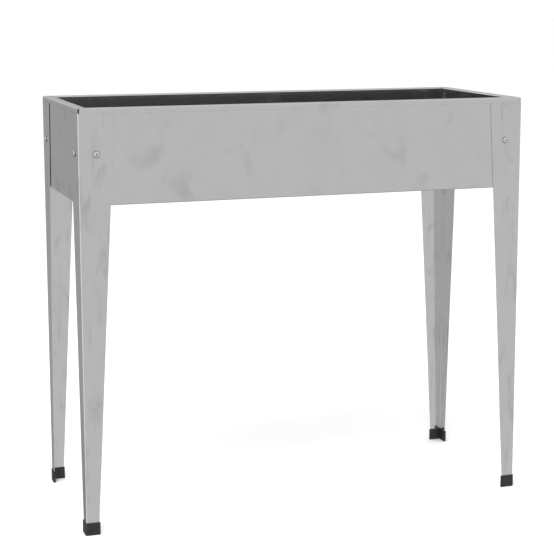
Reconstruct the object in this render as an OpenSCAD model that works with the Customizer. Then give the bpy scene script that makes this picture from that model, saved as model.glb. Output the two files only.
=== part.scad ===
// Raised planter on legs: a folded sheet-metal box bolted inside four tapered angle legs.
// Millimetres, +Z up, +X along the planter's length, -Y is its front.
// The origin is on the floor, midway between the four legs.

/* [Overall] */
// Length over the outer faces of the legs
length = 1000; // [800:10:1200]
// Depth over the outer faces of the legs
depth = 400; // [320:10:500]
// Height from the floor to the top of the rim
height = 900; // [700:10:1000]

/* [Planter box] */
// Height of the four side panels
box_h = 200; // [160:5:260]
// Thickness of the panel sheet
panel_t = 1; // [0.8:0.1:1.2]
// Outer radius of the folds in the panels
panel_bend_r = 2.5; // [2.2:0.1:3]
// Height of the rim band that stands flush with the legs
rim_h = 10.5; // [9:0.5:14]
// Width of the rim where it is folded inwards
rim_w = 22; // [16:1:30]
// Height of the lip folded down from the rim's inner edge
rim_lip_h = 8; // [5:0.5:8.5]
// Width of the flange folded inwards under the box
bottom_flange_w = 20; // [15:1:25]
// Width of the tabs that fold round behind the legs
corner_tab_w = 55; // [48:1:60]

/* [Base] */
// Height of the base panel's folded-down edges
base_skirt_h = 12; // [11:0.5:16]
// Diameter of a drain hole
drain_d = 8; // [5:1:12]
// Drain holes along the length, in each of the two rows
drain_columns = 6; // [2:2:6]
// Width of a brace under the base panel
brace_w = 30; // [24:1:40]

/* [Legs] */
// Thickness of the leg sheet
leg_t = 1.2; // [1:0.1:1.6]
// Width of each leg flange at floor level
leg_foot_w = 26.5; // [24:0.5:34]
// Width of each leg flange at the top
leg_top_w = 76; // [66:1:84]
// Outer radius of the fold along a leg's corner
leg_bend_r = 3; // [2.6:0.1:3.6]

/* [Foot caps] */
// Height of a foot cap
cap_h = 26.5; // [20:0.5:34]
// Wall thickness of a foot cap
cap_wall = 1.8; // [1.4:0.1:2.4]
// Floor thickness of a foot cap
cap_floor = 2.5; // [2:0.1:4]

/* [Fasteners] */
// Distance of the leg bolts below the top of the rim
bolt_drop = 94; // [60:1:110]
// Distance of a front or back bolt from the leg's corner
bolt_inset_x = 37.5; // [30:0.5:42]
// Distance of a side bolt from the leg's corner
bolt_inset_y = 36; // [30:0.5:42]
// Diameter of a bolt's shank
bolt_d = 6; // [5:1:6]
// Length of a bolt under its head
bolt_len = 10; // [9:1:11]
// Diameter of a bolt's domed head
bolt_head_d = 13; // [11:0.5:14]
// Height of a bolt's domed head
bolt_head_h = 3.8; // [3.2:0.1:4.2]

/* [Hidden] */
$fn = 48;
LEFT = -1;
RIGHT = 1;
FRONT = -1;
BACK = 1;

sheet_colour = [0.71, 0.71, 0.71];
fastener_colour = [0.62, 0.62, 0.63];
cap_colour = [0.16, 0.16, 0.165];

cut = 1;               // how far a cutting shape runs past the face that it cuts
fold_r = 0.5;          // inner radius where a fold would otherwise be sharp
box_bottom = height - box_h;
rim_bottom = height - rim_h;

// Corner of the box, where the rims and flanges of two panels stop short of each other
corner_notch = 4;
mitre_gap = 1;
flange_gap = 1.3;

// The front and back panels lie on the legs. The side panels lie on the corner tabs,
// one sheet further in.
front_setback = leg_t;
side_setback = leg_t + panel_t;

// The tops of the legs stop just under the rim band
rim_seam = 0.5;
leg_top = rim_bottom - rim_seam;
tab_end_gap = 5;

// The base panel stands on the bottom flanges, clear of the folds round its edge
base_edge_gap = 1.6;
base_bottom = box_bottom + panel_t;
base_top = base_bottom + base_skirt_h;
base_half_length = length / 2 - side_setback - panel_t - base_edge_gap;
base_half_depth = depth / 2 - front_setback - panel_t - base_edge_gap;
base_bend_r = 2;
base_corner_relief = 3;
drain_row_y = depth * 0.225;
drain_end_x = length * 0.41;

brace_x = length / 6;
brace_end_gap = 2.7;
brace_half_depth = base_half_depth - brace_end_gap;
brace_bolt_y = depth * 0.275;

// A foot cap has a narrow gap all round the leg inside it
cap_gap = 0.1;
cap_proud = cap_wall + cap_gap;
cap_leg_w = leg_foot_w + (leg_top_w - leg_foot_w) * cap_h / leg_top;

bolt_z = height - bolt_drop;
hole_d = bolt_d + 0.6;
head_dome_r = 10;
recess_l = 6.2;
recess_w = 1.3;
recess_depth = 2.2;
nut_flats = bolt_d == 5 ? 8 : 10;
nut_h = 5;
nut_bore_d = bolt_d + 0.2;

// ---- Outlines ----

// Square outline whose corner at the origin is rounded
module corner_square(size_x, size_y, r) {
    translate([r, 0]) square([size_x - r, size_y]);
    translate([0, r]) square([size_x, size_y - r]);
    translate([r, r]) circle(r);
}

// Folded L section with its outer corner at the origin
module angle_outline(arm_x, arm_y, t, r) {
    difference() {
        corner_square(arm_x, arm_y, r);
        translate([t, t]) corner_square(arm_x, arm_y, max(r - t, fold_r));
    }
}

// Rectangle standing on the origin, with both of its top corners rounded
module rounded_top(w, h, r) {
    square([w, h - r]);
    translate([r, 0]) square([w - 2 * r, h]);
    translate([r, h - r]) circle(r);
    translate([w - r, h - r]) circle(r);
}

// Folded channel section, open below, centred on the origin
module channel_outline(w, h, t, r) {
    translate([-w / 2, 0]) difference() {
        rounded_top(w, h, r);
        translate([t, -cut]) rounded_top(w - 2 * t, h - t + cut, r - t);
    }
}

// ---- Placing ----

// Draws an outline of (inwards, up) along X, centred
module along_x(run) {
    translate([-run / 2, 0, 0]) rotate([90, 0, 90]) linear_extrude(run) children();
}

// Draws an outline of (X, up) along Y, centred
module along_y(run) {
    translate([0, run / 2, 0]) rotate([90, 0, 0]) linear_extrude(run) children();
}

// Moves a shape from the corner frame to one corner of the planter. In the corner frame the
// legs' outer corner is at the origin, with +X and +Y running inwards along the two walls.
module at_corner(side_x, side_y) {
    translate([side_x * length / 2, side_y * depth / 2, 0])
        mirror([side_x > 0 ? 1 : 0, 0, 0])
            mirror([0, side_y > 0 ? 1 : 0, 0])
                children();
}

// Places a panel drawn along X, with +Y inwards from the legs' outer face, on its wall
module on_long_wall(side_y) {
    rotate([0, 0, side_y > 0 ? 180 : 0]) translate([0, -depth / 2, 0]) children();
}

module on_short_wall(side_x) {
    rotate([0, 0, side_x > 0 ? 90 : -90]) translate([0, -length / 2, 0]) children();
}

// Places both bolts of a leg, or what lines up with them, with +Z outwards from the leg
module at_front_bolt() {
    translate([bolt_inset_x, 0, bolt_z]) rotate([90, 0, 0]) children();
}

module at_side_bolt() {
    translate([0, bolt_inset_y, bolt_z]) rotate([0, -90, 0]) children();
}

module bolt_hole() {
    translate([0, 0, -corner_tab_w / 2]) cylinder(h = corner_tab_w, d = hole_d);
}

// ---- Panels ----

// Rim of a panel: proud band, inward fold and down-turned lip, mitred at both ends
module rim(run, setback) {
    end_x = run / 2;
    intersection() {
        along_x(run) {
            difference() {
                translate([0, rim_bottom]) rounded_top(rim_w, rim_h, panel_bend_r);
                translate([panel_t, rim_bottom - cut])
                    rounded_top(rim_w - 2 * panel_t, rim_h - panel_t + cut, panel_bend_r - panel_t);
                translate([rim_w / 2, rim_bottom - cut]) square([rim_w, rim_h - rim_lip_h + cut]);
            }
            translate([0, rim_bottom]) square([setback + panel_t, panel_t]);
        }
        translate([0, 0, rim_bottom - cut]) linear_extrude(rim_h + 2 * cut) polygon([
            [-end_x + corner_notch, -cut],
            [-end_x + corner_notch, corner_notch - mitre_gap],
            [-end_x + rim_w + mitre_gap, rim_w],
            [end_x - rim_w - mitre_gap, rim_w],
            [end_x - corner_notch, corner_notch - mitre_gap],
            [end_x - corner_notch, -cut]
        ]);
    }
}

// Upright sheet between the rim and the bottom fold
module web(run, setback) {
    bottom = box_bottom + panel_bend_r;
    translate([-run / 2, setback, bottom]) cube([run, panel_t, rim_bottom + panel_t - bottom]);
}

// Flange folded inwards under the box
module bottom_flange(run, setback) {
    along_x(run) translate([setback, box_bottom])
        angle_outline(bottom_flange_w, panel_bend_r + fold_r, panel_t, panel_bend_r);
}

// Tab folded round the corner at the panel's left end, behind the leg's side flange
module corner_tab() {
    bottom = box_bottom + tab_end_gap;
    top = rim_bottom - tab_end_gap;
    translate([-length / 2 + leg_t, leg_t, bottom]) linear_extrude(top - bottom)
        angle_outline(panel_bend_r + fold_r, corner_tab_w, panel_t, panel_bend_r);
}

module long_panel(side_y) {
    web_run = length - 2 * (leg_t + panel_bend_r);
    flange_run = length - 2 * (side_setback + panel_t + base_edge_gap);
    color(sheet_colour) difference() {
        on_long_wall(side_y) {
            rim(length, front_setback);
            web(web_run, front_setback);
            bottom_flange(flange_run, front_setback);
            corner_tab();
            mirror([1, 0, 0]) corner_tab();
        }
        for (side_x = [LEFT, RIGHT]) at_corner(side_x, side_y) {
            at_front_bolt() bolt_hole();
            at_side_bolt() bolt_hole();
        }
    }
}

module short_panel(side_x) {
    web_run = depth - 2 * corner_notch;
    flange_run = depth - 2 * (front_setback + bottom_flange_w + flange_gap);
    color(sheet_colour) difference() {
        on_short_wall(side_x) {
            rim(depth, side_setback);
            web(web_run, side_setback);
            bottom_flange(flange_run, side_setback);
        }
        for (side_y = [FRONT, BACK]) at_corner(side_x, side_y) at_side_bolt() bolt_hole();
    }
}

// ---- Base ----

// Every place where a bolt joins the base panel to a brace
module at_base_bolts() {
    for (side_x = [LEFT, RIGHT], side_y = [FRONT, BACK])
        translate([side_x * brace_x, side_y * brace_bolt_y, base_top]) children();
}

// Outside of the base panel, with its top edges folded down over a given radius
module base_block(half_length, half_depth, h, r) {
    intersection() {
        along_x(2 * half_length) translate([-half_depth, 0]) rounded_top(2 * half_depth, h, r);
        along_y(2 * half_depth) translate([-half_length, 0]) rounded_top(2 * half_length, h, r);
    }
}

module base_panel() {
    inner_half_length = base_half_length - panel_t;
    inner_half_depth = base_half_depth - panel_t;
    color(sheet_colour) translate([0, 0, base_bottom]) difference() {
        base_block(base_half_length, base_half_depth, base_skirt_h, base_bend_r);
        translate([0, 0, -cut]) base_block(
            inner_half_length, inner_half_depth, base_skirt_h - panel_t + cut, base_bend_r - panel_t
        );
        for (side_x = [LEFT, RIGHT], side_y = [FRONT, BACK])
            translate([side_x * base_half_length, side_y * base_half_depth, 0])
                cube([2 * base_corner_relief, 2 * base_corner_relief, 3 * base_skirt_h], center = true);
        for (column = [0 : drain_columns - 1], side_y = [FRONT, BACK])
            translate([
                -drain_end_x + 2 * drain_end_x * column / (drain_columns - 1), side_y * drain_row_y, 0
            ]) cylinder(h = 2 * base_skirt_h, d = drain_d);
        translate([0, 0, -base_bottom]) at_base_bolts() bolt_hole();
    }
}

module base_brace(side_x) {
    color(sheet_colour) difference() {
        translate([side_x * brace_x, 0, base_bottom]) along_y(2 * brace_half_depth)
            channel_outline(brace_w, base_skirt_h - panel_t, panel_t, base_bend_r);
        at_base_bolts() bolt_hole();
    }
}

// ---- Legs ----

// Outline of a leg seen square on: straight along the corner, tapered on the inner side
module leg_taper_outline() {
    polygon([[-cut, 0], [leg_foot_w, 0], [leg_top_w, leg_top], [-cut, leg_top]]);
}

module leg(side_x, side_y) {
    reach = leg_top_w + 2 * cut;
    color(sheet_colour) at_corner(side_x, side_y) difference() {
        intersection() {
            translate([0, 0, cap_floor]) linear_extrude(leg_top - cap_floor)
                angle_outline(leg_top_w, leg_top_w, leg_t, leg_bend_r);
            translate([0, reach - cut, 0]) rotate([90, 0, 0])
                linear_extrude(reach) leg_taper_outline();
            translate([-cut, 0, 0]) rotate([90, 0, 90])
                linear_extrude(reach) leg_taper_outline();
        }
        at_front_bolt() bolt_hole();
        at_side_bolt() bolt_hole();
    }
}

module foot_cap(side_x, side_y) {
    arm = cap_leg_w + 2 * cap_proud;
    socket_arm = cap_leg_w + 2 * cap_gap;
    color(cap_colour) at_corner(side_x, side_y) difference() {
        translate([-cap_proud, -cap_proud, 0]) linear_extrude(cap_h)
            angle_outline(arm, arm, leg_t + 2 * cap_proud, leg_bend_r + cap_proud);
        translate([-cap_gap, -cap_gap, cap_floor]) linear_extrude(cap_h) intersection() {
            angle_outline(arm, arm, leg_t + 2 * cap_gap, leg_bend_r + cap_gap);
            square(socket_arm);
        }
    }
}

// ---- Fasteners ----

// Pan-head bolt: the head is above z = 0 and the shank below it
module bolt() {
    difference() {
        intersection() {
            cylinder(h = bolt_head_h, d = bolt_head_d);
            translate([0, 0, bolt_head_h - head_dome_r]) sphere(head_dome_r);
        }
        for (turn = [45, 135]) rotate([0, 0, turn])
            translate([-recess_l / 2, -recess_w / 2, bolt_head_h - recess_depth])
                cube([recess_l, recess_w, recess_depth]);
    }
    translate([0, 0, -bolt_len]) cylinder(h = bolt_len + cut, d = bolt_d);
}

// Hexagon nut tightened on the back of a stack of sheets
module nut(stack) {
    translate([0, 0, -stack - nut_h]) difference() {
        cylinder(h = nut_h, d = nut_flats / cos(30), $fn = 6);
        translate([0, 0, -cut]) cylinder(h = nut_h + 2 * cut, d = nut_bore_d);
    }
}

module leg_bolts(side_x, side_y) {
    color(fastener_colour) at_corner(side_x, side_y) {
        at_front_bolt() bolt();
        at_side_bolt() bolt();
    }
}

module leg_nuts(side_x, side_y) {
    color(fastener_colour) at_corner(side_x, side_y) {
        at_front_bolt() nut(leg_t + panel_t);
        at_side_bolt() nut(leg_t + 2 * panel_t);
    }
}

module base_bolts() {
    color(fastener_colour) at_base_bolts() bolt();
}

module base_nuts() {
    color(fastener_colour) at_base_bolts() nut(2 * panel_t);
}

long_panel(FRONT);  // front_panel
long_panel(BACK);  // back_panel
short_panel(LEFT);  // left_panel
short_panel(RIGHT);  // right_panel
base_panel();
base_brace(LEFT);  // base_brace_left
base_brace(RIGHT);  // base_brace_right
base_bolts();
base_nuts();
leg(LEFT, FRONT);  // leg_front_left
leg(RIGHT, FRONT);  // leg_front_right
leg(LEFT, BACK);  // leg_back_left
leg(RIGHT, BACK);  // leg_back_right
foot_cap(LEFT, FRONT);  // foot_cap_front_left
foot_cap(RIGHT, FRONT);  // foot_cap_front_right
foot_cap(LEFT, BACK);  // foot_cap_back_left
foot_cap(RIGHT, BACK);  // foot_cap_back_right
leg_bolts(LEFT, FRONT);  // leg_bolts_front_left
leg_bolts(RIGHT, FRONT);  // leg_bolts_front_right
leg_bolts(LEFT, BACK);  // leg_bolts_back_left
leg_bolts(RIGHT, BACK);  // leg_bolts_back_right
leg_nuts(LEFT, FRONT);  // leg_nuts_front_left
leg_nuts(RIGHT, FRONT);  // leg_nuts_front_right
leg_nuts(LEFT, BACK);  // leg_nuts_back_left
leg_nuts(RIGHT, BACK);  // leg_nuts_back_right
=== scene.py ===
import math

import bmesh
import bpy
from mathutils import Matrix, Vector


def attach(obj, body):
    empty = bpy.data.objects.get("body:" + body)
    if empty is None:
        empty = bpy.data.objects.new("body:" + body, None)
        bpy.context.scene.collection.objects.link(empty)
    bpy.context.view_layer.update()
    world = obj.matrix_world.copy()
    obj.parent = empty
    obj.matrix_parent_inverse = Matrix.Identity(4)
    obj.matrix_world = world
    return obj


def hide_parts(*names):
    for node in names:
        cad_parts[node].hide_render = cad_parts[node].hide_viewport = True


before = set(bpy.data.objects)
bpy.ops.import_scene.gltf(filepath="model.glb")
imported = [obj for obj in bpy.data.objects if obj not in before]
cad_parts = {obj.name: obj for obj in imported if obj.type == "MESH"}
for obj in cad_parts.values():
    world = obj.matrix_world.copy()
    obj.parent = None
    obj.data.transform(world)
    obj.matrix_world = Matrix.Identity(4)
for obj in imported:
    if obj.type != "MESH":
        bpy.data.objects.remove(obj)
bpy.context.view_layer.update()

# Raised planter on legs. Lengths are metres in the frame of the CAD model: +X along the planter,
# -Y its front, +Z up, with the origin on the floor midway between the legs.

MM = 0.001
CORNERS = ("front_left", "front_right", "back_left", "back_right")
PANELS = ("front_panel", "back_panel", "left_panel", "right_panel")
BASE_SHEETS = ("base_panel", "base_brace_left", "base_brace_right")
ROOT = "root"

# Camera
CAMERA_PLACE = Vector((-1.094, -3.225, 1.135))
CAMERA_AZIMUTH = math.radians(19.19)    # turned from +Y towards +X
CAMERA_PITCH = math.radians(9.08)       # below the horizon
CAMERA_SENSOR = 36.0                    # mm
CAMERA_LENS = 98.45                     # mm
CAMERA_SHIFT = (-0.0275, -0.08)

# Studio
FLOOR_SIZE = 120.0
KEY_LIGHT_PLACE = Vector((-1.6, -2.2, 4.2))
KEY_LIGHT_SIZE = 3.2
KEY_LIGHT_POWER = 170.0
BACKDROP_LEVEL = 1.06                   # what the camera and diffuse light see
FLOOR_GREY = 0.95

# Brightness of what the metal reflects, by direction
FRONT_LEVEL = 0.640
BACK_LEVEL = 0.375
BACK_LOW_LEVEL = 0.24
FRONT_TO_BACK = (-0.5, 0.6)             # Y of the direction over which front turns into back
BACK_FALL = (-0.24, -0.36)              # Z over which the back turns into its lower part
HEIGHT_BANDS = (                        # Z where a band starts and is full, and its brightness
    (-0.04, 0.30, 0.72),                # sky
    (0.45, 0.95, 0.70),                 # zenith
    (-0.37, -0.80, 0.42),               # ground
)
SOFTBOX_LEVEL = 0.40                    # added in the middle of the softbox, on the left
SOFTBOX_DIRECTION = Vector((-0.97, -0.10, 0.05)).normalized()
SOFTBOX_EDGE = (0.53, 0.93)             # cosine off its middle where it starts and is full

# Sheet metal
SHEET_CLEAN, SHEET_DULL = 0.746, 0.550  # reflectance of clear metal and of the darkest marks
SHEET_EDGE = (0.84, 0.84, 0.84, 1.0)    # rubbed cut edges
CREVICE_SHADE = (0.35, 0.35, 0.345, 1.0)        # painted shade in seams and inside corners
WEAR_RADIUS = 0.7 * MM
CREVICE_REACH = 3.0 * MM
WEAR_ROUGHNESS = 0.10
# roughness added under the painted crevice shade
SHADE_ROUGHNESS = 0.45

# Zinc plate
ZINC_CLEAN = (0.84, 0.84, 0.85)
ZINC_TARNISHED = (0.62, 0.62, 0.62)
ZINC_EDGE = (0.88, 0.88, 0.88, 1.0)
# near-black painted shade in the seams round the bolt heads and nuts
ZINC_CREVICE_SHADE = (0.06, 0.06, 0.06, 1.0)
ZINC_WEAR_RADIUS = 0.3 * MM

# Cap plastic
CAP_DARK = (0.009, 0.009, 0.0095)
CAP_PALE = (0.022, 0.022, 0.0225)
CAP_SCUFF = (0.09, 0.09, 0.09, 1.0)
CAP_WEAR_RADIUS = 0.5 * MM
SCUFF_HEIGHT = 9 * MM

# Fasteners
THREAD_PITCH = 1.0 * MM
THREAD_DEPTH = 0.5 * MM
HEAD_HEIGHT = 3.8 * MM
RECESS_LENGTH = 5.4 * MM
RECESS_WIDTH = 1.05 * MM
RECESS_DEPTH = 1.6 * MM
SHANK_DIAMETER = 6.0 * MM
NUT_BORE = 6.2 * MM

# Foot caps
CAP_ROUNDING = 0.55 * MM


def link(obj):
    """Adds an object to the scene."""
    bpy.context.scene.collection.objects.link(obj)
    return obj


# ---- Camera ----

def make_camera():
    data = bpy.data.cameras.new("camera")
    data.sensor_width = CAMERA_SENSOR
    data.lens = CAMERA_LENS
    data.shift_x, data.shift_y = CAMERA_SHIFT
    camera = link(bpy.data.objects.new("camera", data))
    camera.location = CAMERA_PLACE
    camera.rotation_euler = (math.pi / 2 - CAMERA_PITCH, 0, -CAMERA_AZIMUTH)
    bpy.context.scene.camera = camera


# ---- Node helpers ----

class Graph:
    """Short calls for building one node tree."""

    def __init__(self, tree):
        self.tree = tree
        tree.nodes.clear()

    def node(self, kind, inputs=None, **settings):
        """Adds a node. An input is a value, or a socket that is linked to it."""
        made = self.tree.nodes.new("ShaderNode" + kind)
        for name, value in settings.items():
            setattr(made, name, value)
        for name, value in (inputs or {}).items():
            socket = made.inputs[name]
            if isinstance(value, bpy.types.NodeSocket):
                self.tree.links.new(value, socket)
            else:
                socket.default_value = value
        return made

    def math(self, operation, first, second=0.0, third=0.0):
        made = self.node("Math", {0: first, 1: second, 2: third}, operation=operation)
        return made.outputs[0]

    def smooth_range(self, value, low, high, to_low=0.0, to_high=1.0):
        """Turns low..high into to_low..to_high with soft ends."""
        made = self.node("MapRange", {
            "Value": value, "From Min": low, "From Max": high, "To Min": to_low, "To Max": to_high,
        }, interpolation_type="SMOOTHSTEP")
        return made.outputs["Result"]

    def blend(self, share, first, second):
        """Mixes two colours, from the first at share 0 to the second at share 1."""
        made = self.node("Mix", {"Factor": share, "A": first, "B": second}, data_type="RGBA")
        return made.outputs["Result"]

    def noise(self, coordinates, scale, detail=2.0, roughness=0.5, distortion=0.0):
        """Noise whose features are about 1 / scale long. The scale may differ along X, Y and Z."""
        steps = (scale,) * 3 if isinstance(scale, (int, float)) else scale
        placed = self.node("Mapping", {"Vector": coordinates, "Scale": steps})
        made = self.node("TexNoise", {
            "Vector": placed.outputs[0], "Scale": 1.0, "Detail": detail,
            "Roughness": roughness, "Distortion": distortion,
        })
        return made.outputs["Fac"]

    def ramp(self, value, stops):
        """Colour ramp from (position, grey or RGB) stops."""
        made = self.node("ValToRGB", {"Fac": value})
        elements = made.color_ramp.elements
        while len(elements) < len(stops):
            elements.new(1.0)
        for element, (position, colour) in zip(elements, stops):
            element.position = position
            rgb = (colour,) * 3 if isinstance(colour, (int, float)) else colour
            element.color = (*rgb, 1.0)
        return made.outputs["Color"]


# ---- Studio ----

def make_world():
    """Soft studio surroundings: paler in front and overhead than behind and underneath, with a
    softbox on the left. Only reflections see the difference; the backdrop is plain."""
    world = bpy.data.worlds.new("studio")
    bpy.context.scene.world = world
    world.use_nodes = True
    g = Graph(world.node_tree)
    direction = g.node("TexCoord").outputs["Generated"]
    axes = g.node("SeparateXYZ", {0: direction})
    back = g.smooth_range(axes.outputs["Z"], *BACK_FALL, BACK_LEVEL, BACK_LOW_LEVEL)
    level = g.smooth_range(axes.outputs["Y"], *FRONT_TO_BACK, FRONT_LEVEL, back)
    for start, full, brightness in HEIGHT_BANDS:
        share = g.smooth_range(axes.outputs["Z"], start, full)
        level = g.node("Mix", {"Factor": share, "A": level, "B": brightness}).outputs[0]
    aim = g.node("VectorMath", {0: direction, 1: SOFTBOX_DIRECTION}, operation="DOT_PRODUCT")
    softbox = g.smooth_range(aim.outputs["Value"], *SOFTBOX_EDGE, 0.0, SOFTBOX_LEVEL)
    reflected = g.math("ADD", level, softbox)
    glossy = g.node("LightPath").outputs["Is Glossy Ray"]
    seen = g.node("Mix", {"Factor": glossy, "A": BACKDROP_LEVEL, "B": reflected})
    background = g.node("Background", {"Color": (1, 1, 1, 1), "Strength": seen.outputs[0]})
    g.node("OutputWorld", {"Surface": background.outputs[0]})


def make_floor():
    mesh = bpy.data.meshes.new("floor")
    bm = bmesh.new()
    bmesh.ops.create_grid(bm, x_segments=4, y_segments=4, size=FLOOR_SIZE / 2)
    bm.to_mesh(mesh)
    bm.free()
    floor = link(bpy.data.objects.new("floor", mesh))
    material = bpy.data.materials.new("floor_paint")
    material.use_nodes = True
    g = Graph(material.node_tree)
    paint = g.node("BsdfDiffuse", {"Color": (FLOOR_GREY, FLOOR_GREY, FLOOR_GREY, 1)})
    g.node("OutputMaterial", {"Surface": paint.outputs[0]})
    mesh.materials.append(material)
    floor.visible_glossy = False


def make_key_light():
    data = bpy.data.lights.new("key", "AREA")
    data.size = KEY_LIGHT_SIZE
    data.energy = KEY_LIGHT_POWER
    light = link(bpy.data.objects.new("key", data))
    light.location = KEY_LIGHT_PLACE
    light.rotation_euler = (-KEY_LIGHT_PLACE).to_track_quat("-Z", "Y").to_euler()
    light.visible_glossy = False


# ---- Materials ----

def new_material(name):
    material = bpy.data.materials.new(name)
    material.use_nodes = True
    return material, Graph(material.node_tree)


def edge_wear(g, radius):
    """Mask that is 1 along cut edges and 0 on flat sheet."""
    rounded = g.node("Bevel", {"Radius": radius}, samples=4).outputs[0]
    plain = g.node("NewGeometry").outputs["Normal"]
    facing = g.node("VectorMath", {0: rounded, 1: plain}, operation="DOT_PRODUCT")
    return g.smooth_range(facing.outputs["Value"], 0.985, 0.86)


def crevice(g):
    """Ambient-occlusion mask that is 0 on open surfaces and 1 deep in seams and inside corners; it
    places painted shade.
    """
    openness = g.node("AmbientOcclusion", {"Distance": CREVICE_REACH}, samples=6).outputs["AO"]
    return g.smooth_range(openness, 1.0, 0.60)


def sheet_metal(name, gloss, crevice_shade, blotch_scale, streak_share, streak_scale, grain_scale):
    """Smooth silver sheet with a few soft blotches, long streaks and a fine rolled grain, with
    painted shade in seams and inside corners. Its gloss is the roughness of clear metal and of
    the darkest marks, its crevice_shade the strength of that painted shade, and its scales are
    features to the metre along X, Y and Z."""
    material, g = new_material(name)
    place = g.node("TexCoord").outputs["Object"]
    blotches = g.smooth_range(g.noise(place, blotch_scale, 2, 0.45, 0.5), 0.56, 0.76)
    haze = g.smooth_range(g.noise(place, 17.0, 3, 0.5, 0.2), 0.40, 0.75)
    streaks = g.smooth_range(g.noise(place, streak_scale, 3, 0.55, 0.2), 0.54, 0.76)
    grain = g.noise(place, grain_scale, 2, 0.5)
    tone = g.math("MULTIPLY", blotches, 0.52)
    tone = g.math("MULTIPLY_ADD", streaks, streak_share, tone)
    tone = g.math("MULTIPLY_ADD", haze, 0.12, tone)
    tone = g.math("MULTIPLY_ADD", grain, 0.12, tone)
    wear = edge_wear(g, WEAR_RADIUS)
    colour = g.ramp(tone, [(0.0, SHEET_CLEAN), (1.0, SHEET_DULL)])
    worn = g.blend(wear, colour, SHEET_EDGE)
    # Painted shade: seams and inside corners found by ambient occlusion are darkened and dulled,
    # except on rubbed edges.
    unworn = g.math("MULTIPLY_ADD", wear, -crevice_shade, crevice_shade)
    painted_shade = g.math("MULTIPLY", crevice(g), unworn)
    shaded_colour = g.blend(painted_shade, worn, CREVICE_SHADE)
    shine = g.smooth_range(tone, 0.0, 1.0, *gloss)
    shine = g.math("MULTIPLY_ADD", wear, WEAR_ROUGHNESS, shine)
    shine = g.math("MULTIPLY_ADD", painted_shade, SHADE_ROUGHNESS, shine)
    ripples = g.noise(place, 5.5, 1)
    relief = g.math("MULTIPLY_ADD", grain, 0.02, ripples)
    bump = g.node("Bump", {"Height": relief, "Strength": 1.0, "Distance": 0.15 * MM})
    shader = g.node("BsdfPrincipled", {
        "Base Color": shaded_colour, "Metallic": 1.0, "Roughness": shine, "Normal": bump.outputs[0],
    })
    g.node("OutputMaterial", {"Surface": shader.outputs[0]})
    return material


def zinc_plate():
    """Semi-bright zinc on the bolts and nuts, with painted shade in its seams."""
    material, g = new_material("zinc_plate")
    place = g.node("TexCoord").outputs["Object"]
    mottle = g.noise(place, 420.0, 3, 0.6)
    tarnish = g.smooth_range(g.noise(place, 90.0, 3, 0.6, 0.4), 0.45, 0.7)
    tone = g.math("MULTIPLY_ADD", tarnish, 0.6, g.math("MULTIPLY", mottle, 0.4))
    wear = edge_wear(g, ZINC_WEAR_RADIUS)
    colour = g.ramp(tone, [(0.0, ZINC_CLEAN), (1.0, ZINC_TARNISHED)])
    worn = g.blend(wear, colour, ZINC_EDGE)
    # Painted shade: the ambient-occlusion crevice mask darkens the ring round each head.
    shaded_colour = g.blend(crevice(g), worn, ZINC_CREVICE_SHADE)
    shine = g.smooth_range(tone, 0.0, 1.0, 0.11, 0.24)
    bump = g.node("Bump", {"Height": mottle, "Strength": 0.4, "Distance": 0.02 * MM})
    shader = g.node("BsdfPrincipled", {
        "Base Color": shaded_colour, "Metallic": 1.0, "Roughness": shine, "Normal": bump.outputs[0],
    })
    g.node("OutputMaterial", {"Surface": shader.outputs[0]})
    return material


def cap_plastic():
    """Black moulded plastic with a fine spark-eroded texture, scuffed near the floor."""
    material, g = new_material("cap_plastic")
    place = g.node("TexCoord").outputs["Object"]
    texture = g.noise(place, 1500.0, 2, 0.6)
    blotches = g.smooth_range(g.noise(place, 130.0, 3, 0.6, 0.3), 0.35, 0.7)
    height = g.node("SeparateXYZ", {0: place}).outputs["Z"]
    low = g.smooth_range(height, SCUFF_HEIGHT, 0.0)
    scratches = g.smooth_range(g.noise(place, (900.0, 900.0, 160.0), 3, 0.65), 0.52, 0.72)
    scuff = g.math("MULTIPLY", low, scratches)
    wear = edge_wear(g, CAP_WEAR_RADIUS)
    colour = g.ramp(blotches, [(0.0, CAP_DARK), (1.0, CAP_PALE)])
    rubbed = g.math("MAXIMUM", g.math("MULTIPLY", scuff, 0.7), g.math("MULTIPLY", wear, 0.35))
    worn = g.blend(rubbed, colour, CAP_SCUFF)
    shine = g.math("MULTIPLY_ADD", scuff, 0.15, g.smooth_range(blotches, 0.0, 1.0, 0.42, 0.50))
    bump = g.node("Bump", {"Height": texture, "Strength": 0.5, "Distance": 0.06 * MM})
    shader = g.node("BsdfPrincipled", {
        "Base Color": worn, "Roughness": shine, "Normal": bump.outputs[0],
    })
    g.node("OutputMaterial", {"Surface": shader.outputs[0]})
    return material


def paint(node, material):
    """Gives every face of a CAD node one material."""
    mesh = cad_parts[node].data
    mesh.materials.clear()
    mesh.materials.append(material)


# ---- Fasteners ----

def solids(node):
    """(lowest corner, highest corner) of each separate solid in a CAD node."""
    bm = bmesh.new()
    bm.from_mesh(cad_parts[node].data)
    bmesh.ops.remove_doubles(bm, verts=bm.verts, dist=0.001 * MM)
    boxes = []
    seen = set()
    for start in bm.verts:
        if start in seen:
            continue
        seen.add(start)
        found = [start]
        for vertex in found:
            for edge in vertex.link_edges:
                other = edge.other_vert(vertex)
                if other not in seen:
                    seen.add(other)
                    found.append(other)
        places = [vertex.co for vertex in found]
        boxes.append((
            Vector([min(p[i] for p in places) for i in range(3)]),
            Vector([max(p[i] for p in places) for i in range(3)]),
        ))
    bm.free()
    return boxes


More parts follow.
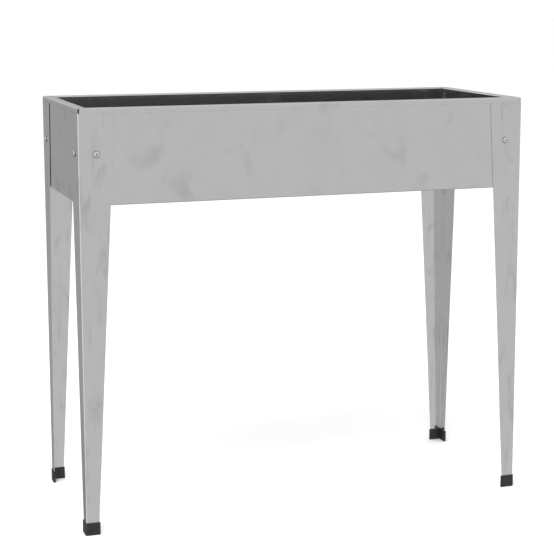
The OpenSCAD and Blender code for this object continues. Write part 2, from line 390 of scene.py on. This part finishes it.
def revolve(bm, outline, segments=48):
    """Turns an outline of (radius, height) points round Z. Its first and last points lie on Z."""
    rings = []
    for radius, height in outline:
        if radius == 0:
            rings.append([bm.verts.new((0, 0, height))])
            continue
        ring = []
        for i in range(segments):
            angle = 2 * math.pi * i / segments
            ring.append(bm.verts.new((radius * math.cos(angle), radius * math.sin(angle), height)))
        rings.append(ring)
    for below, above in zip(rings, rings[1:]):
        for i in range(segments):
            j = (i + 1) % segments
            corners = [below[i % len(below)], below[j % len(below)],
                       above[j % len(above)], above[i % len(above)]]
            bm.faces.new(list(dict.fromkeys(corners)))


def thread(bm, root_radius, crest_radius, low, high, segments=32):
    """Helical V thread round Z between two heights, open at both ends. Its ends fade into the
    root radius, as on a rolled thread."""
    levels = 6
    rows = int(round((high - low) / THREAD_PITCH * levels)) + levels
    columns = []
    for i in range(segments):
        share = i / segments
        column = []
        for row in range(-levels, rows + 1):
            height = low + (row / levels + share) * THREAD_PITCH
            phase = (row / levels) % 1.0
            ridge = 1 - abs(2 * phase - 1)
            held = min(max(height, low), high)
            fade = min(1.0, (high - held) / THREAD_PITCH, (held - low) / THREAD_PITCH)
            radius = root_radius + (crest_radius - root_radius) * ridge * fade
            angle = 2 * math.pi * share
            column.append(bm.verts.new((radius * math.cos(angle), radius * math.sin(angle), held)))
        columns.append(column)
    for i in range(segments):
        shift = levels if i == segments - 1 else 0
        left, right = columns[i], columns[(i + 1) % segments]
        for row in range(len(left) - 1 - shift):
            bm.faces.new((left[row], right[row + shift], right[row + shift + 1], left[row + 1]))


def finish_mesh(bm, name, sharp_angle=32):
    """Cleans a bmesh, gives it outward normals and smooth shading, and makes it a mesh."""
    bmesh.ops.remove_doubles(bm, verts=bm.verts, dist=0.002 * MM)
    bmesh.ops.dissolve_degenerate(bm, edges=bm.edges, dist=0.002 * MM)
    bmesh.ops.recalc_face_normals(bm, faces=bm.faces)
    mesh = bpy.data.meshes.new(name)
    bm.to_mesh(mesh)
    bm.free()
    mesh.shade_smooth()
    mesh.set_sharp_from_angle(angle=math.radians(sharp_angle))
    return mesh


def bolt_mesh(head_diameter, shank_diameter, shank_length):
    """Pan-head machine screw with a cross recess. Its head stands above z = 0, its shank below."""
    head_r = head_diameter / 2
    shank_r = shank_diameter / 2
    root_r = shank_r - THREAD_DEPTH
    edge_height = 1.15 * MM             # height of the head's nearly upright side
    side_taper = 0.06 * MM
    under_edge = 0.35 * MM              # size of the rounding under the head's edge
    tip_chamfer = 0.7 * MM
    plain_neck = 0.5 * MM
    dome_steps = 9
    bm = bmesh.new()
    outline = [(0, -shank_length), (root_r - tip_chamfer / 2, -shank_length),
               (root_r, -shank_length + tip_chamfer)]
    outline += [(root_r, -plain_neck), (shank_r, -plain_neck / 2), (shank_r, 0)]
    outline += [(head_r - under_edge, 0), (head_r - 0.08 * MM, 0.1 * MM), (head_r, under_edge)]
    outline += [(head_r - side_taper, edge_height)]
    for step in range(1, dome_steps + 1):
        angle = math.pi / 2 * step / dome_steps
        radius = (head_r - side_taper) * math.cos(angle) ** 0.8 if step < dome_steps else 0
        outline.append((radius, edge_height + (HEAD_HEIGHT - edge_height) * math.sin(angle)))
    revolve(bm, outline)
    body = bpy.data.objects.new("bolt_blank", finish_mesh(bm, "bolt_blank"))
    link(body)
    cutter = link(bpy.data.objects.new("recess_cutter", recess_mesh()))
    cut = body.modifiers.new("recess", "BOOLEAN")
    cut.operation = "DIFFERENCE"
    cut.solver = "EXACT"
    cut.object = cutter
    depsgraph = bpy.context.evaluated_depsgraph_get()
    bm = bmesh.new()
    bm.from_mesh(body.evaluated_get(depsgraph).to_mesh())
    bpy.data.objects.remove(body)
    bpy.data.objects.remove(cutter)
    thread(bm, root_r - 0.02 * MM, shank_r, -shank_length + tip_chamfer, -plain_neck)
    return finish_mesh(bm, "bolt")


def recess_mesh():
    """Tapered cross that is cut into a bolt's head."""
    bm = bmesh.new()
    top = HEAD_HEIGHT + 0.5 * MM
    bottom = HEAD_HEIGHT - RECESS_DEPTH
    wide, narrow = RECESS_LENGTH / 2, 0.32 * RECESS_LENGTH / 2
    half_top, half_bottom = RECESS_WIDTH / 2, 0.36 * RECESS_WIDTH
    rings = []
    for height, reach, half in ((bottom, narrow, half_bottom), (top, wide * 1.08, half_top)):
        ring = []
        for quarter in range(4):
            turn = Matrix.Rotation(math.pi / 4 + quarter * math.pi / 2, 3, "Z")
            for x, y in ((half, -half), (reach, -half), (reach, half)):
                ring.append(bm.verts.new(turn @ Vector((x, y, height))))
        rings.append(ring)
    count = len(rings[0])
    for i in range(count):
        j = (i + 1) % count
        bm.faces.new((rings[0][i], rings[0][j], rings[1][j], rings[1][i]))
    bm.faces.new(rings[0][::-1])
    bm.faces.new(rings[1])
    return finish_mesh(bm, "recess_cutter", 10)


def nut_mesh(flats, height, bore_diameter):
    """Hexagon nut with chamfered corners and a threaded bore. It stands on z = 0."""
    segments = 72
    chamfer_slope = math.tan(math.radians(30))
    washer_r = 0.96 * flats / 2
    bore_r = bore_diameter / 2
    lead_in = 0.45 * MM
    bm = bmesh.new()

    def ring(radius_at, height_at):
        made = []
        for i in range(segments):
            angle = 2 * math.pi * i / segments
            radius = radius_at(angle)
            place = (radius * math.cos(angle), radius * math.sin(angle), height_at(radius))
            made.append(bm.verts.new(place))
        return made

    def hexagon(angle):
        sixth = math.pi / 3
        return flats / 2 / math.cos((angle % sixth) - sixth / 2)

    def chamfered(radius):
        return (radius - washer_r) * chamfer_slope

    rings = [
        ring(lambda a: bore_r, lambda r: lead_in),
        ring(lambda a: bore_r + lead_in, lambda r: 0),
        ring(lambda a: washer_r, lambda r: 0),
        ring(hexagon, chamfered),
        ring(hexagon, lambda r: height - chamfered(r)),
        ring(lambda a: washer_r, lambda r: height),
        ring(lambda a: bore_r + lead_in, lambda r: height),
        ring(lambda a: bore_r, lambda r: height - lead_in),
    ]
    for below, above in zip(rings, rings[1:] + rings[:1]):
        for i in range(segments):
            j = (i + 1) % segments
            bm.faces.new((below[i], below[j], above[j], above[i]))
    return finish_mesh(bm, "nut", 24)


def add_piece(name, mesh, place, node):
    """Adds one detailed piece that stands for a solid of a CAD node."""
    piece = link(bpy.data.objects.new(name, mesh))
    piece.matrix_world = place
    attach(piece, ROOT)
    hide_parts(node)
    return piece


def axis_vector(index, sign=1):
    vector = Vector((0, 0, 0))
    vector[index] = sign
    return vector


def standing(origin, up, across):
    """Matrix that puts +Z along up and +X along across, at an origin."""
    turn = Matrix((across, up.cross(across), up)).transposed()
    return Matrix.Translation(origin) @ turn.to_4x4()


def add_bolts(node, mesh):
    """One bolt for each solid of a bolt node, its head on the outside."""
    for number, (low, high) in enumerate(solids(node)):
        sizes = high - low
        along = max(range(3), key=lambda i: sizes[i])
        centre = (low + high) / 2
        up = axis_vector(along, 1 if centre[along] > 0 else -1)
        origin = centre + up * (sizes[along] / 2 - HEAD_HEIGHT)
        across = axis_vector((along + 1) % 3)
        place = standing(origin, up, across)
        add_piece(f"{node}_{number + 1}_detail", mesh, place, node)


def add_nuts(node, mesh):
    """One nut for each solid of a nut node, its corners where the solid has them."""
    for number, (low, high) in enumerate(solids(node)):
        sizes = high - low
        along = min(range(3), key=lambda i: sizes[i])
        corners = max(range(3), key=lambda i: sizes[i])
        centre = (low + high) / 2
        up = axis_vector(along)
        origin = centre - up * sizes[along] / 2
        place = standing(origin, up, axis_vector(corners))
        add_piece(f"{node}_{number + 1}_detail", mesh, place, node)


def add_foot_cap(node, material):
    """The cap's own shape with its moulded edges rounded."""
    bm = bmesh.new()
    bm.from_mesh(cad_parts[node].data)
    bmesh.ops.remove_doubles(bm, verts=bm.verts, dist=0.001 * MM)
    bmesh.ops.dissolve_limit(bm, angle_limit=math.radians(1), verts=bm.verts, edges=bm.edges)
    sharp_angle = math.radians(40)
    sharp = [e for e in bm.edges if len(e.link_faces) == 2 and e.calc_face_angle() > sharp_angle]
    bmesh.ops.bevel(bm, geom=sharp, offset=CAP_ROUNDING, offset_type="OFFSET", segments=3,
                    profile=0.5, affect="EDGES", clamp_overlap=True)
    mesh = finish_mesh(bm, node + "_detail", 50)
    mesh.materials.append(material)
    add_piece(node + "_detail", mesh, Matrix.Identity(4), node)


# ---- The scene ----

bpy.context.scene.view_settings.view_transform = "Standard"
make_camera()
make_world()
make_floor()
make_key_light()

panel_metal = sheet_metal(
    "panel_metal", gloss=(0.13, 0.22), crevice_shade=0.25, blotch_scale=10.5,
    streak_share=0.10, streak_scale=(30.0, 30.0, 8.0), grain_scale=(45.0, 45.0, 1300.0))
leg_metal = sheet_metal(
    "leg_metal", gloss=(0.10, 0.18), crevice_shade=1.0, blotch_scale=(34.0, 34.0, 13.0),
    streak_share=0.40, streak_scale=(90.0, 90.0, 9.0), grain_scale=(1300.0, 1300.0, 45.0))
base_metal = sheet_metal(
    "base_metal", gloss=(0.26, 0.36), crevice_shade=0.6, blotch_scale=10.0,
    streak_share=0.20, streak_scale=(8.0, 20.0, 20.0), grain_scale=(30.0, 260.0, 30.0))
for node in PANELS:
    paint(node, panel_metal)
for node in BASE_SHEETS:
    paint(node, base_metal)
for corner in CORNERS:
    paint("leg_" + corner, leg_metal)

zinc = zinc_plate()
first_bolt = solids("base_bolts")[0]
head_diameter = (first_bolt[1] - first_bolt[0]).x
shank_length = (first_bolt[1] - first_bolt[0]).z - HEAD_HEIGHT
bolt = bolt_mesh(head_diameter, SHANK_DIAMETER, shank_length)
bolt.materials.append(zinc)
first_nut = solids("base_nuts")[0]
nut = nut_mesh((first_nut[1] - first_nut[0]).y, (first_nut[1] - first_nut[0]).z, NUT_BORE)
nut.materials.append(zinc)
add_bolts("base_bolts", bolt)
add_nuts("base_nuts", nut)
plastic = cap_plastic()
for corner in CORNERS:
    add_bolts("leg_bolts_" + corner, bolt)
    add_nuts("leg_nuts_" + corner, nut)
    add_foot_cap("foot_cap_" + corner, plastic)
